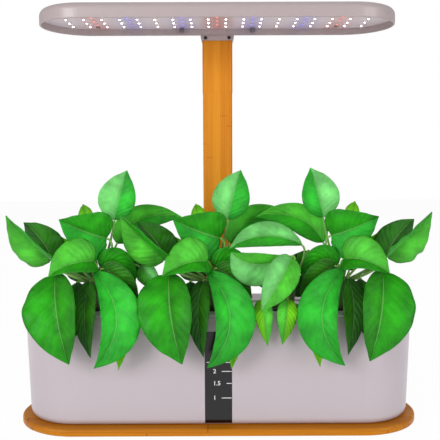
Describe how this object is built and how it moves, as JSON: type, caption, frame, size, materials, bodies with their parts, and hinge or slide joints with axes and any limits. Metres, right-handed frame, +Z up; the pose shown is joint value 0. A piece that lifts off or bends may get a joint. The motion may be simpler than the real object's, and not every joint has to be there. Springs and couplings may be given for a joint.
{
  "type": "countertop hydroponic garden",
  "caption": "Countertop hydroponic garden: long water tank with a level window on a bamboo board, leafy plants in a lift-off deck, and a grow light carried on a bamboo post.",
  "frame": {"origin": "centre of the standing face, under the middle of the base board", "axes": "+Z up, -Y towards the front with the level window, +X to the right seen from the front"},
  "size_m": [0.41, 0.1559, 0.421],
  "materials": {
    "bamboo": "satin lacquer",
    "silicone": "matte",
    "tank_shell": "satin",
    "lamp_shell": "satin",
    "smoked_window": "polished",
    "dark_rubber": "matte",
    "screw_steel": "dark zinc",
    "black_plastic": "moulded",
    "contact_brass": "plated",
    "wire_sheath": "extruded",
    "basket_plastic": "moulded",
    "magnet_ferrite": "sintered",
    "deck_plastic": "satin",
    "board_white": "white solder mask",
    "led_white": "clear dome",
    "led_red": "clear dome",
    "led_blue": "clear dome",
    "stud_grey": "moulded",
    "circuit_green": "solder mask",
    "button_grey": "satin",
    "sponge": "open cell",
    "leaf": "waxy leaf"
  },
  "bodies": {
    "base": {"base_board": "bamboo", "foot_pads": "silicone", "tank": "tank_shell", "level_window": "smoked_window", "window_seal": "dark_rubber", "post_lower": "bamboo", "post_screws": "screw_steel", "power_inlet": "black_plastic", "inlet_pin": "contact_brass", "lower_wires": "wire_sheath", "post_sleeve": "black_plastic", "pump_housing": "black_plastic", "pump_cover": "black_plastic", "pump_shaft": "screw_steel", "suction_cups": "silicone", "pump_nozzle": "black_plastic", "pump_lead": "wire_sheath", "lead_grommet": "dark_rubber"},
    "impeller": {"pump_impeller": "basket_plastic", "pump_magnet": "magnet_ferrite"},
    "deck": {"deck": "deck_plastic", "lid_pin": "screw_steel", "net_basket_1": "basket_plastic", "grow_sponge_1": "sponge", "plant_1": "leaf", "net_basket_2": "basket_plastic", "grow_sponge_2": "sponge", "plant_2": "leaf", "net_basket_3": "basket_plastic", "grow_sponge_3": "sponge", "plant_3": "leaf", "net_basket_4": "basket_plastic", "grow_sponge_4": "sponge", "plant_4": "leaf"},
    "refill_lid": {"refill_lid": "deck_plastic"},
    "lamp": {"lamp_housing": "lamp_shell", "light_board": "board_white", "white_leds": "led_white", "red_leds": "led_red", "blue_leds": "led_blue", "board_screws": "screw_steel", "board_studs": "stud_grey", "driver_board": "circuit_green", "key_switches": "black_plastic", "lamp_bracket": "lamp_shell", "bracket_screws": "screw_steel", "bracket_rear_screws": "screw_steel", "post_upper": "bamboo", "post_tongue": "contact_brass", "upper_wires": "wire_sheath"},
    "light_button": {"light_button": "button_grey"},
    "pump_button": {"pump_button": "button_grey"},
    "pod_cap_1": {"pod_cap_1": "deck_plastic"},
    "pod_cap_2": {"pod_cap_2": "deck_plastic"},
    "pod_cap_3": {"pod_cap_3": "deck_plastic"},
    "pod_cap_4": {"pod_cap_4": "deck_plastic"},
    "pod_cap_5": {"pod_cap_5": "deck_plastic"}
  },
  "joints": [
    {"name": "deck_lift", "type": "slide", "parent": "base", "child": "deck", "axis": [0, 0, 1], "range_m": [0, 0.06]},
    {"name": "lamp_lift", "type": "slide", "parent": "base", "child": "lamp", "axis": [0, 0, 1], "range_m": [0, 0.045]},
    {"name": "refill_lid_hinge", "type": "hinge", "parent": "deck", "child": "refill_lid", "pos_m": [0.17, 0.0227, 0.1225], "axis": [-1, 0, 0], "range_deg": [0, 100]},
    {"name": "light_button_press", "type": "slide", "parent": "lamp", "child": "light_button", "axis": [0, 0, -1], "range_m": [0, 0.0007], "stiffness_N_per_m": 900},
    {"name": "pump_button_press", "type": "slide", "parent": "lamp", "child": "pump_button", "axis": [0, 0, -1], "range_m": [0, 0.0007], "stiffness_N_per_m": 900},
    {"name": "pump_spin", "type": "hinge", "parent": "base", "child": "impeller", "pos_m": [-0.172, 0, 0.0269], "axis": [0, 1, 0], "continuous": true},
    {"name": "pod_cap_1_lift", "type": "slide", "parent": "deck", "child": "pod_cap_1", "axis": [0, 0, 1], "range_m": [0, 0.008]},
    {"name": "pod_cap_2_lift", "type": "slide", "parent": "deck", "child": "pod_cap_2", "axis": [0, 0, 1], "range_m": [0, 0.015]},
    {"name": "pod_cap_3_lift", "type": "slide", "parent": "deck", "child": "pod_cap_3", "axis": [0, 0, 1], "range_m": [0, 0.015]},
    {"name": "pod_cap_4_lift", "type": "slide", "parent": "deck", "child": "pod_cap_4", "axis": [0, 0, 1], "range_m": [0, 0.015]},
    {"name": "pod_cap_5_lift", "type": "slide", "parent": "deck", "child": "pod_cap_5", "axis": [0, 0, 1], "range_m": [0, 0.015]}
  ]
}
